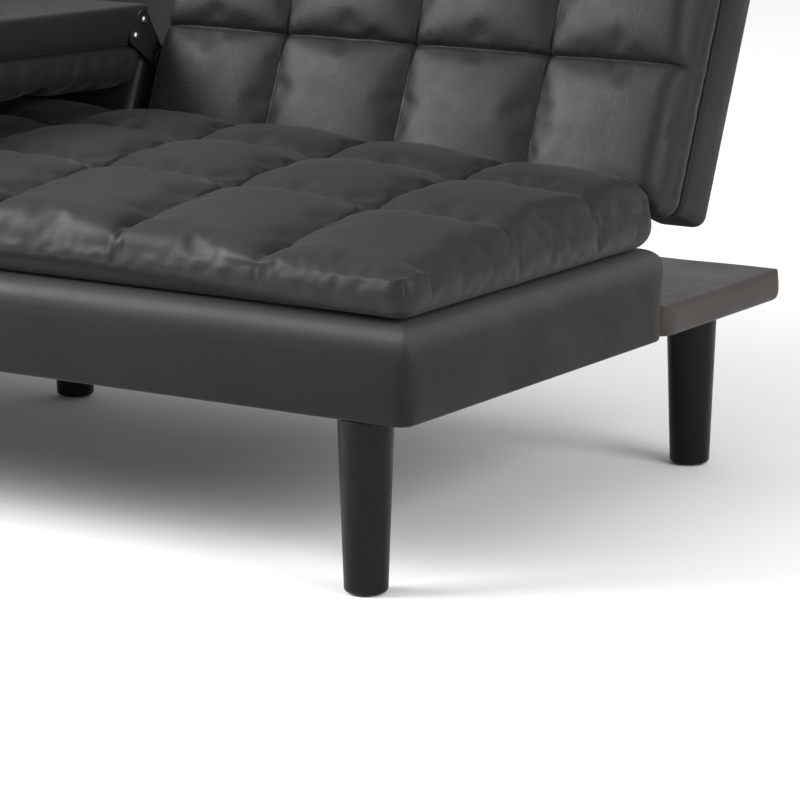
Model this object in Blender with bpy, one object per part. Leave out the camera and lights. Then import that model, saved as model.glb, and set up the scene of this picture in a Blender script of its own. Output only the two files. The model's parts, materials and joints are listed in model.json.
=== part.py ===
"""Futon sofa bed: tufted seat and reclining back on a low padded base, with a drop-down centre console.

World axes: +X along the length, to the sitter's left, -Y out of the front, +Z up. Depths below are measured
from the front face of the base and turned into world Y by world_y().
"""

import math

import bpy
from mathutils import Matrix, Vector

# ---- driving dimensions (metres, degrees) ----
LENGTH = 1.74
HALF = LENGTH / 2
LEG_HEIGHT = 0.18
RAIL_TOP = 0.282
RAIL_WIDTH = 0.045
BASE_DEPTH = 0.52
GAP = 0.0003

SEAT_BOTTOM = 0.2853
SEAT_TOP = 0.380
SEAT_DEPTH = 0.4945

DECK_BACK = 0.80
DECK_THICKNESS = 0.035
DECK_CORNER = 0.024

BACK_TILT = 22.5
HINGE_DEPTH = 0.5447
HINGE_HEIGHT = 0.3341
# the back in its own frame: y backwards and z up along it, from the hinge line
PAD_FRONT = -0.0459
PAD_REAR = 0.0116
FRAME_FRONT = 0.0136
FRAME_REAR = 0.0820
PANEL_REAR = 0.0861
BACK_LOW = -0.025
BACK_HIGH = 0.495
FRAME_LOW = -0.019
MEMBER = 0.045

RECESS_HALF = 0.176
SLOT_INNER = 0.786
SLOT_OUTER = 0.814

# the console in its own frame: y backwards and z up from its hinge line, lowered
CONSOLE_HALF = 0.168
CONSOLE_RISE = 2.2
CONSOLE_PIVOT_Y = -0.0205
CONSOLE_PIVOT_Z = 0.0962
CONSOLE_TIP = -0.3988
CONSOLE_PAD_LOW = -0.0254
CONSOLE_SPLIT = 0.0176
CONSOLE_TOP = 0.0646
CONSOLE_HEEL = 0.0294
CUP_X = 0.085
CUP_Y = -0.270
CUP_RADIUS = 0.0415
CUP_DEPTH = 0.040

OVERALL_DEPTH = 0.81365
TILT = math.radians(BACK_TILT)
RISE = math.radians(CONSOLE_RISE)
SLOPE = math.tan(TILT - RISE)


def world_y(depth):
    return depth - OVERALL_DEPTH / 2


# ---- clearing ----
for old in list(bpy.data.objects):
    bpy.data.objects.remove(old, do_unlink=True)


# ---- materials ----
def material(name, color, metallic=0.0, roughness=0.5):
    made = bpy.data.materials.new(name)
    made.use_nodes = True
    shader = made.node_tree.nodes["Principled BSDF"]
    shader.inputs["Base Color"].default_value = (*color, 1.0)
    shader.inputs["Metallic"].default_value = metallic
    shader.inputs["Roughness"].default_value = roughness
    return made


def faux_leather(name):
    return material(name, (0.085, 0.08, 0.082), 0.0, 0.5)


def bare_wood(name):
    return material(name, (0.52, 0.38, 0.22), 0.0, 0.65)


def zinc_steel(name):
    return material(name, (0.55, 0.55, 0.56), 1.0, 0.35)


# ---- building helpers ----
def empty(name, depth_y, height, turn_x, parent=None):
    made = bpy.data.objects.new(name, None)
    bpy.context.scene.collection.objects.link(made)
    made.location = (0.0, depth_y, height)
    made.rotation_euler = (turn_x, 0.0, 0.0)
    made.parent = parent
    made.empty_display_size = 0.05
    return made


def mesh_object(name, verts, faces, mat, parent=None, smooth=False):
    mesh = bpy.data.meshes.new(name)
    mesh.from_pydata([tuple(v) for v in verts], [], faces)
    mesh.update()
    made = bpy.data.objects.new(name, mesh)
    bpy.context.scene.collection.objects.link(made)
    made.parent = parent
    if mat:
        mesh.materials.append(mat)
    if smooth:
        mesh.shade_smooth()
    return made


def bevel(obj, width, segments=3, angle=30):
    mod = obj.modifiers.new("rounding", "BEVEL")
    mod.width = width
    mod.segments = segments
    mod.limit_method = "ANGLE"
    mod.angle_limit = math.radians(angle)
    return obj


def prism(name, outline, x0, x1, mat, parent=None, smooth=False):
    """A solid along X from an outline of (y, z) points, counter-clockwise seen from +X."""
    n = len(outline)
    verts = [(x0, y, z) for y, z in outline] + [(x1, y, z) for y, z in outline]
    faces = [tuple(reversed(range(n))), tuple(range(n, 2 * n))]
    faces += [(i, (i + 1) % n, n + (i + 1) % n, n + i) for i in range(n)]
    return mesh_object(name, verts, faces, mat, parent, smooth)


def box(name, x, y, z, mat, parent=None):
    outline = [(y[0], z[0]), (y[1], z[0]), (y[1], z[1]), (y[0], z[1])]
    return prism(name, outline, x[0], x[1], mat, parent)


def arc(cy, cz, radius, start, end, steps):
    """Points on a circle in the YZ plane, angles in degrees from +Y towards +Z."""
    points = []
    for i in range(steps + 1):
        turn = math.radians(start + (end - start) * i / steps)
        points.append((cy + radius * math.cos(turn), cz + radius * math.sin(turn)))
    return points


def hull(points):
    """The convex outline of the points, counter-clockwise."""
    ordered = sorted(set((round(y, 6), round(z, 6)) for y, z in points))
    sides = []
    for run in (ordered, list(reversed(ordered))):
        side = []
        for p in run:
            while len(side) > 1:
                (ay, az), (by, bz) = side[-2], side[-1]
                if (by - ay) * (p[1] - az) - (bz - az) * (p[0] - ay) > 0:
                    break
                side.pop()
            side.append(p)
        sides += side[:-1]
    return sides


def lathe(name, profile, mat, steps=24, parent=None):
    """A solid of revolution about local Z from (radius, z) points that start and end on the axis."""
    verts = [(0.0, 0.0, profile[0][1])]
    rings = profile[1:-1]
    for radius, z in rings:
        for i in range(steps):
            turn = 2 * math.pi * i / steps
            verts.append((radius * math.cos(turn), radius * math.sin(turn), z))
    verts.append((0.0, 0.0, profile[-1][1]))
    faces = [(0, 1 + (i + 1) % steps, 1 + i) for i in range(steps)]
    for ring in range(len(rings) - 1):
        low, high = 1 + ring * steps, 1 + (ring + 1) * steps
        for i in range(steps):
            j = (i + 1) % steps
            faces.append((low + i, low + j, high + j, high + i))
    last = 1 + (len(rings) - 1) * steps
    tip = len(verts) - 1
    faces += [(last + i, last + (i + 1) % steps, tip) for i in range(steps)]
    return mesh_object(name, verts, faces, mat, parent, smooth=True)


def cutter(name, obj_made, target):
    """Takes obj_made out of target and hides it."""
    obj_made.name = name
    obj_made.hide_render = True
    obj_made.display_type = "WIRE"
    mod = target.modifiers.new("cut_" + name, "BOOLEAN")
    mod.operation = "DIFFERENCE"
    mod.solver = "EXACT"
    mod.object = obj_made


def place(obj, x, y, z, turn_y=0.0):
    obj.location = (x, y, z)
    obj.rotation_euler = (0.0, turn_y, 0.0)
    return obj


# ---- base ----
def build_base():
    inner_x = HALF - RAIL_WIDTH
    z = (LEG_HEIGHT, RAIL_TOP)
    front = (world_y(0.0), world_y(RAIL_WIDTH))
    rear = (world_y(BASE_DEPTH - RAIL_WIDTH), world_y(BASE_DEPTH))
    between = (front[1] + GAP, rear[0] - GAP)
    bevel(box("base_front_rail", (-HALF, HALF), front, z, faux_leather("leather_front_rail")), 0.004, 2)
    bevel(box("base_rear_rail", (-HALF, HALF), rear, z, faux_leather("leather_rear_rail")), 0.004, 2)
    for side, sign in (("left", -1), ("right", 1)):
        x = sorted((sign * inner_x, sign * HALF))
        rail = box("base_side_rail_" + side, x, between, z, faux_leather("leather_side_rail_" + side))
        bevel(rail, 0.004, 2)
        for end, y0, y1 in (
            ("front", between[0], between[0] + 0.06),
            ("rear", between[1] - 0.06, between[1]),
        ):
            x = sorted((sign * (inner_x - GAP), sign * (inner_x - 0.06)))
            box(f"corner_block_{end}_{side}", x, (y0, y1), (0.184, 0.262), bare_wood(f"wood_block_{end}_{side}"))
    box("base_centre_beam", (-0.02, 0.02), between, (0.190, 0.2697), bare_wood("wood_centre_beam"))
    box("seat_deck_board", (-inner_x + GAP, inner_x - GAP), between, (0.270, 0.282), bare_wood("wood_deck_board"))
    low = (world_y(0.050), world_y(0.470))
    box("base_dust_cover", (-0.82, 0.82), low, (0.1812, 0.1832), material("black_dust_cover", (0.02, 0.02, 0.02), 0, 0.9))


def build_seat():
    y = (world_y(0.0), world_y(SEAT_DEPTH))
    pad = box("seat_pad", (-HALF, HALF), y, (SEAT_BOTTOM, SEAT_TOP), faux_leather("leather_seat"))
    bevel(pad, 0.030, 4)


def build_rear_deck():
    """The low wrapped board behind the base, with its two rear corners rounded."""
    y0, y1 = world_y(BASE_DEPTH + GAP), world_y(DECK_BACK)
    r = DECK_CORNER
    outline = [(-HALF, y0), (HALF, y0)]
    for cx, start in ((HALF - r, 0), (-HALF + r, 90)):
        for i in range(9):
            turn = math.radians(start + 90 * i / 8)
            outline.append((cx + r * math.cos(turn), y1 - r + r * math.sin(turn)))
    n = len(outline)
    z0, z1 = LEG_HEIGHT, LEG_HEIGHT + DECK_THICKNESS
    verts = [(x, y, z0) for x, y in outline] + [(x, y, z1) for x, y in outline]
    faces = [tuple(reversed(range(n))), tuple(range(n, 2 * n))]
    faces += [(i, (i + 1) % n, n + (i + 1) % n, n + i) for i in range(n)]
    deck = mesh_object("rear_deck_board", verts, faces, faux_leather("leather_rear_deck"))
    bevel(deck, 0.005, 2)


def build_legs():
    profile = [
        (0.0, 0.0), (0.0185, 0.0), (0.0222, 0.0035), (0.0225, 0.008),
        (0.0285, 0.172), (0.0285, LEG_HEIGHT - GAP), (0.0, LEG_HEIGHT - GAP),
    ]
    spots = (
        ("front_left", -0.803, 0.031), ("front_right", 0.803, 0.031),
        ("rear_left", -0.804, 0.702), ("rear_right", 0.804, 0.702), ("rear_centre", 0.0, 0.615),
    )
    for name, x, depth in spots:
        leg = lathe("leg_" + name, profile, material("black_leg_" + name, (0.018, 0.017, 0.018), 0, 0.35))
        place(leg, x, world_y(depth), 0.0)


# ---- click-clack hinges, one at each end ----
def drilled(plate, name, x0, x1, y, z, radius, parent=None):
    hole = prism(name, arc(y, z, radius, 0, 360, 20)[:-1], x0 - 0.004, x1 + 0.004, None, parent)
    cutter(name, hole, plate)


def pin_profile(length, shank, head, head_length):
    return [
        (0.0, 0.0), (shank, 0.0), (shank, length), (head, length),
        (head, length + head_length), (0.0, length + head_length),
    ]


def build_back_hinges(back):
    y, z = world_y(HINGE_DEPTH), HINGE_HEIGHT
    foot = LEG_HEIGHT + DECK_THICKNESS + GAP
    for side, sign in (("left", -1), ("right", 1)):
        steel = zinc_steel("steel_hinge_plate_" + side)
        x = sorted((sign * 0.792, sign * 0.796))
        outline = hull(arc(y, z, 0.012, 0, 360, 24) + [(world_y(0.530), foot), (world_y(0.572), foot)])
        plate = prism("hinge_base_plate_" + side, outline, x[0], x[1], steel)
        drilled(plate, "hinge_base_hole_" + side, x[0], x[1], y, z, 0.0053)

        x = sorted((sign * 0.7865, sign * 0.7905))
        outline = hull(arc(0.0, 0.0, 0.012, 0, 360, 24) + [(0.060, -0.017), (0.060, 0.018)])
        arm = prism("hinge_back_arm_" + side, outline, x[0], x[1], zinc_steel("steel_hinge_arm_" + side), back)
        drilled(arm, "hinge_arm_hole_" + side, x[0], x[1], 0.0, 0.0, 0.0053, back)

        pin = lathe("hinge_pin_" + side, pin_profile(0.0098, 0.005, 0.009, 0.004), zinc_steel("steel_hinge_pin_" + side))
        place(pin, sign * 0.7867, y, z, sign * math.pi / 2)


# ---- back ----
def build_back(back):
    y = (FRAME_FRONT, FRAME_REAR)
    low = (FRAME_LOW, 0.020)
    high = (BACK_HIGH - MEMBER, BACK_HIGH)
    mid = (low[1] + GAP, high[0] - GAP)
    wrap = faux_leather

    box("back_bottom_rail", (-SLOT_INNER + GAP, SLOT_INNER - GAP), y, low, wrap("leather_back_bottom_rail"), back)
    box("back_recess_rail", (-0.1715, 0.1715), y, (0.050, 0.095), wrap("leather_recess_rail"), back)
    box("back_top_cross_rail", (-RECESS_HALF + GAP, RECESS_HALF - GAP), (0.0645, FRAME_REAR), high,
        wrap("leather_top_cross_rail"), back)
    for side, sign in (("left", -1), ("right", 1)):
        def span(a, b):
            return sorted((sign * a, sign * b))
        box("back_bottom_end_" + side, span(SLOT_OUTER, HALF), y, low, wrap("leather_bottom_end_" + side), back)
        box("back_top_rail_" + side, span(RECESS_HALF, HALF), y, high, wrap("leather_top_rail_" + side), back)
        box("back_end_stile_" + side, span(HALF - MEMBER, HALF), y, mid, wrap("leather_end_stile_" + side), back)
        box("back_recess_stile_" + side, span(RECESS_HALF, RECESS_HALF + MEMBER), y, mid,
            wrap("leather_recess_stile_" + side), back)
        box("back_mid_stile_" + side, span(0.505, 0.540), (0.030, 0.070), mid, bare_wood("wood_mid_stile_" + side), back)

    panel = box("back_rear_panel", (-HALF, HALF), (FRAME_REAR + GAP, PANEL_REAR), (FRAME_LOW, BACK_HIGH),
                wrap("leather_back_panel"), back)
    for side, sign in (("left", -1), ("right", 1)):
        x = sorted((sign * SLOT_INNER, sign * SLOT_OUTER))
        name = "panel_slot_" + side
        cutter(name, box(name, x, (FRAME_REAR - 0.02, PANEL_REAR + 0.02), (BACK_LOW - 0.03, 0.030), None, back), panel)

    for side, sign in (("left", -1), ("right", 1)):
        x = sorted((sign * RECESS_HALF, sign * HALF))
        pad = box("back_pad_" + side, x, (PAD_FRONT, PAD_REAR), (BACK_LOW, BACK_HIGH), wrap("leather_back_pad_" + side), back)
        bevel(pad, 0.018, 3)
        x = sorted((sign * 0.783, sign * 0.817))
        name = "pad_slot_" + side
        cutter(name, box(name, x, (-0.016, 0.06), (BACK_LOW - 0.03, 0.020), None, back), pad)

    # the fixed centre pad below the console: its top follows the swing of the console's heel
    outline = [(PAD_REAR, BACK_LOW)]
    outline += [(PAD_FRONT + 0.018 + py, BACK_LOW + 0.018 + pz) for py, pz in arc(0, 0, 0.018, 270, 180, 4)]
    top = arc(CONSOLE_PIVOT_Y, CONSOLE_PIVOT_Z, CONSOLE_HEEL - 0.0039, 180, 90 - BACK_TILT + CONSOLE_RISE, 6)
    outline += top
    outline.append((PAD_REAR, top[-1][1] - (PAD_REAR - top[-1][0]) * SLOPE))
    outline.reverse()
    lower = prism("back_pad_centre", outline, -0.164, 0.164, wrap("leather_back_pad_centre"), back)
    bevel(lower, 0.006, 2, 50)


# ---- console ----
def build_console(back, console):
    heel = CONSOLE_HEEL / math.cos(TILT - RISE)

    def heel_y(z):
        return -heel + z * SLOPE

    x = (-CONSOLE_HALF, CONSOLE_HALF)
    low, split, top, tip = CONSOLE_PAD_LOW, CONSOLE_SPLIT, CONSOLE_TOP, CONSOLE_TIP
    outline = [(tip, low), (heel_y(low), low), (heel_y(split), split), (tip, split)]
    bevel(prism("console_pad", outline, *x, faux_leather("leather_console_pad"), console), 0.010, 3)
    outline = [(tip, split + GAP), (heel_y(split), split + GAP), (heel_y(top), top), (tip, top)]
    tray = prism("console_box", outline, *x, faux_leather("leather_console_box"), console)
    bevel(tray, 0.008, 2)

    floor = top - CUP_DEPTH
    cup = [
        (0.0, floor - 0.002), (CUP_RADIUS - 0.003, floor - 0.002), (CUP_RADIUS, floor + 0.002),
        (CUP_RADIUS + 0.0005, top + 0.0004), (CUP_RADIUS + 0.0065, top + 0.0004),
        (CUP_RADIUS + 0.0060, top + 0.0024), (CUP_RADIUS - 0.0015, top + 0.0024),
        (CUP_RADIUS - 0.0022, floor + 0.002), (CUP_RADIUS - 0.0045, floor), (0.0, floor),
    ]
    for side, sign in (("left", -1), ("right", 1)):
        name = "cup_hole_" + side
        ring = [(CUP_RADIUS + 0.003, split - 0.02), (CUP_RADIUS + 0.003, top + 0.02)]
        hole = lathe(name, [(0, split - 0.02), *ring, (0, top + 0.02)], None, 32, console)
        cutter(name, place(hole, sign * CUP_X, CUP_Y, 0.0), tray)
        plastic = material("black_cup_" + side, (0.012, 0.012, 0.013), 0, 0.3)
        place(lathe("cup_holder_" + side, cup, plastic, 32, console), sign * CUP_X, CUP_Y, 0.0)

    bolts = ((-0.0478, 0.0303), (-0.0325, 0.0479))
    for side, sign in (("left", -1), ("right", 1)):
        x = sorted((sign * 0.1685, sign * 0.1715))
        edge = arc(0, 0, 0.011, 0, 360, 20)
        for by, bz in bolts:
            edge += arc(by, bz, 0.011, 0, 360, 20)
        arm = prism("console_arm_" + side, hull(edge), x[0], x[1], zinc_steel("steel_console_arm_" + side), console)
        drilled(arm, "console_arm_hole_" + side, x[0], x[1], 0.0, 0.0, 0.0043, console)
        for number, (by, bz) in enumerate(bolts, 1):
            head = [(0, 0), (0.0045, 0), (0.0045, 0.0014), (0.0028, 0.0026), (0, 0.0028)]
            bolt = lathe(f"console_bolt_{side}_{number}", head, zinc_steel(f"steel_bolt_{side}_{number}"), 16, console)
            place(bolt, sign * 0.1718, by, bz, sign * math.pi / 2)

        x = sorted((sign * 0.1722, sign * 0.1752))
        py, pz = CONSOLE_PIVOT_Y, CONSOLE_PIVOT_Z
        outline = hull(arc(py, pz, 0.011, 0, 360, 20) + [(0.055, 0.055), (0.055, 0.105)])
        plate = prism("console_pivot_plate_" + side, outline, x[0], x[1], zinc_steel("steel_pivot_plate_" + side), back)
        drilled(plate, "pivot_plate_hole_" + side, x[0], x[1], py, pz, 0.0043, back)
        pin = lathe("console_pivot_pin_" + side, pin_profile(0.0073, 0.004, 0.0075, 0.0022),
                    zinc_steel("steel_pivot_pin_" + side), 20, back)
        place(pin, sign * 0.1756, py, pz, -sign * math.pi / 2)


back_hinge = empty("back_hinge", world_y(HINGE_DEPTH), HINGE_HEIGHT, -TILT)
console_hinge = empty("console_hinge", CONSOLE_PIVOT_Y, CONSOLE_PIVOT_Z, TILT - RISE, back_hinge)
build_base()
build_seat()
build_rear_deck()
build_legs()
build_back_hinges(back_hinge)
build_back(back_hinge)
build_console(back_hinge, console_hinge)
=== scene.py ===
"""Looks of the futon sofa bed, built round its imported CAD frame: cushions, wrapped rails and hardware.

Everything is in metres in the row frame: +X along the length, -Y out of the front, +Z up. The back and the
console are worked out in their own frames, BACK and CONSOLE, whose X axis is the line that they turn about.
"""

import json
import math

import bmesh
import bpy
import numpy as np
from mathutils import Matrix, Vector


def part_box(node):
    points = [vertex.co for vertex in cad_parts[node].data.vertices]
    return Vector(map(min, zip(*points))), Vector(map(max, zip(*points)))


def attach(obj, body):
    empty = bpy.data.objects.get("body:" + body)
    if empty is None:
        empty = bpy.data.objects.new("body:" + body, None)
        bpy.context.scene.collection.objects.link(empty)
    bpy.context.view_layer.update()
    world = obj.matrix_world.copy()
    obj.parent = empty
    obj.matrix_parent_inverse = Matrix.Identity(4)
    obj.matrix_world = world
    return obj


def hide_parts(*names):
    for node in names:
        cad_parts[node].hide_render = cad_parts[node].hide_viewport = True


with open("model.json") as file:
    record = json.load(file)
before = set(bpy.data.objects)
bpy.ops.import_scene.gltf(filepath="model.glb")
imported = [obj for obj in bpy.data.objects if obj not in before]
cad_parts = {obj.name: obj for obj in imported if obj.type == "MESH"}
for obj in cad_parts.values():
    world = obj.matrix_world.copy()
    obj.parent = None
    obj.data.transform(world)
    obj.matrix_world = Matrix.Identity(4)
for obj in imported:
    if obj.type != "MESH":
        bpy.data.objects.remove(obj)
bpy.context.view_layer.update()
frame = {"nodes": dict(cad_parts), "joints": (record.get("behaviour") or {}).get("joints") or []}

# ---- frames of the two moving bodies, at rest ----
PIVOT = {joint["name"]: Vector(joint["pos_m"]) for joint in frame["joints"]}
BACK_TILT = math.radians(22.5)
CONSOLE_RISE = math.radians(2.2)
BACK = Matrix.Translation(PIVOT["back_recline"]) @ Matrix.Rotation(-BACK_TILT, 4, "X")
CONSOLE = Matrix.Translation(PIVOT["console_fold"]) @ Matrix.Rotation(-CONSOLE_RISE, 4, "X")
WORLD = Matrix.Identity(4)
HEEL_GAP = 0.0294  # from the console's hinge line to its end

# ---- sewing ----
COLUMN = 0.174  # between two stitched lines that run front to back
SEAT_ROWS = (0.207, 0.373)  # stitched lines along the length, from the front of the seat
FRONT_TUFTS = 0.040  # the row of tufts at the front of the seat
SEAT_COLUMNS = [COLUMN * k for k in range(1, 10)]
BACK_ROWS = (0.135, 0.315)  # the same on the back, up from its hinge line
SEAT_PUFF, BACK_PUFF = 0.0165, 0.0225  # how far a cell's crown stands out from its crossings
SEAT_LINE_RISE, BACK_LINE_RISE = 0.008, 0.009  # the same for a stitched line between two crossings

# ---- stuffing, blown up as cloth ----
PRESSURE, FRAMES = 4.0, 20
SEAT_PRESSURE, SEAT_FRAMES = 2.5, 14
SLACK = 0.02  # spare cloth, as a share of its size

# ---- base colours ----
LEATHER = (0.0108, 0.0092, 0.0096)
DECK_LEATHER = (0.037, 0.0325, 0.0295)


def local_box(node, matrix):
    """(lowest, highest) corner of a CAD node in the frame that matrix gives."""
    turned = matrix.inverted()
    points = np.array([turned @ v.co for v in frame["nodes"][node].data.vertices])
    return points.min(0), points.max(0)


# ---- meshes ----
def piece(name, verts, faces, matrix=WORLD, outwards=True):
    """A new object whose mesh is in the row frame. verts are in the frame that matrix gives."""
    mesh = bpy.data.meshes.new(name)
    mesh.from_pydata([tuple(v) for v in verts], [], [tuple(f) for f in faces])
    mesh.transform(matrix)
    if outwards:
        body = bmesh.new()
        body.from_mesh(mesh)
        bmesh.ops.recalc_face_normals(body, faces=body.faces)
        body.to_mesh(mesh)
        body.free()
    mesh.update()
    mesh.shade_smooth()
    made = bpy.data.objects.new(name, mesh)
    bpy.context.scene.collection.objects.link(made)
    return made


def coordinates(obj):
    co = np.empty(len(obj.data.vertices) * 3)
    obj.data.vertices.foreach_get("co", co)
    return co.reshape(-1, 3)


def set_coordinates(obj, co):
    obj.data.vertices.foreach_set("co", co.astype(np.float32).ravel())
    obj.data.update()


def apply_modifiers(obj):
    graph = bpy.context.evaluated_depsgraph_get()
    shown = obj.evaluated_get(graph)
    done = bpy.data.meshes.new_from_object(shown, preserve_all_data_layers=True, depsgraph=graph)
    obj.modifiers.clear()
    old = obj.data
    obj.data = done
    bpy.data.meshes.remove(old)
    obj.data.shade_smooth()


def close(obj):
    """Fills the flat hole that a Cushion leaves in its underside, and turns every face outwards."""
    body = bmesh.new()
    body.from_mesh(obj.data)
    bmesh.ops.holes_fill(body, edges=[e for e in body.edges if e.is_boundary], sides=0)
    bmesh.ops.recalc_face_normals(body, faces=body.faces)
    body.to_mesh(obj.data)
    body.free()
    obj.data.update()
    obj.data.shade_smooth()


def subdivide(obj, levels=1):
    mod = obj.modifiers.new("smooth", "SUBSURF")
    mod.levels = mod.render_levels = levels
    mod.boundary_smooth = "PRESERVE_CORNERS"
    apply_modifiers(obj)


def cut(obj, cutters):
    """Takes closed cutters out of obj and deletes them."""
    for other in cutters:
        mod = obj.modifiers.new("cut", "BOOLEAN")
        mod.solver = "EXACT"
        mod.object = other
    apply_modifiers(obj)
    for other in cutters:
        bpy.data.objects.remove(other)


def block(name, low, high, matrix=WORLD):
    """A plain box, for cutting with."""
    verts = [(x, y, z) for x in (low[0], high[0]) for y in (low[1], high[1]) for z in (low[2], high[2])]
    faces = [(0, 1, 3, 2), (4, 6, 7, 5), (0, 4, 5, 1), (2, 3, 7, 6), (0, 2, 6, 4), (1, 5, 7, 3)]
    return piece(name, verts, faces, matrix)


def span(a, b, count, tight_a, tight_b):
    """count + 1 places from a to b, closer together near each end."""
    u = (np.arange(count) + 0.5) / count
    step = 1 - tight_a * np.exp(-((u / 0.16) ** 2)) - tight_b * np.exp(-(((1 - u) / 0.16) ** 2))
    along = np.concatenate([[0.0], np.cumsum(step)])
    return a + (b - a) * along / along[-1]


def smoothstep(x):
    x = np.clip(x, 0.0, 1.0)
    return x * x * (3 - 2 * x)


def ripple(points, size, seed, waves=7):
    """Smooth unevenness from about -1 to 1, whose waves are about size long."""
    draw = np.random.default_rng(seed)
    total = np.zeros(len(points))
    for _ in range(waves):
        way = draw.normal(size=3)
        way *= 2 * math.pi / size * draw.uniform(0.6, 1.5) / np.linalg.norm(way)
        total += np.sin(points @ way + draw.uniform(0, 2 * math.pi))
    return total / math.sqrt(waves)


# ---- cushions: a stitched top, a side band and an underside, on one grid ----
def seam_distance(at, seams, low, high):
    """How far each place is from the nearest stitched line, as a share of half the cell that it is in."""
    stops = np.array([low, *seams, high])
    cell = np.clip(np.searchsorted(stops, at, side="right") - 1, 0, len(stops) - 2)
    a, b = stops[cell], stops[cell + 1]
    middle = (a + b) / 2
    left = np.clip((at - a) / (middle - a), 0, 1)
    right = np.clip((b - at) / (b - middle), 0, 1)
    left = np.where(cell == 0, 1.0, left)
    right = np.where(cell == len(stops) - 2, 1.0, right)
    return np.minimum(left, right)


def bulge(u, power=2.2):
    """0 at a stitched line, rising steeply and flat at the crown."""
    return np.sqrt(np.clip(1 - (1 - u) ** power, 0, 1))


def rolled(*edges):
    """1 inside, falling in a quarter circle to 0 at a border. edges are (distance from it, radius)."""
    share = 1.0
    for away, radius in edges:
        share = share * np.sqrt(np.clip(1 - (1 - np.clip(away / radius, 0, 1)) ** 2, 0, 1))
    return share


def borders(x, y, width, length, radius):
    """The edges of a rectangle, for rolled()."""
    return [(away, radius) for away in (x, width - x, y, length - y)]


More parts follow.
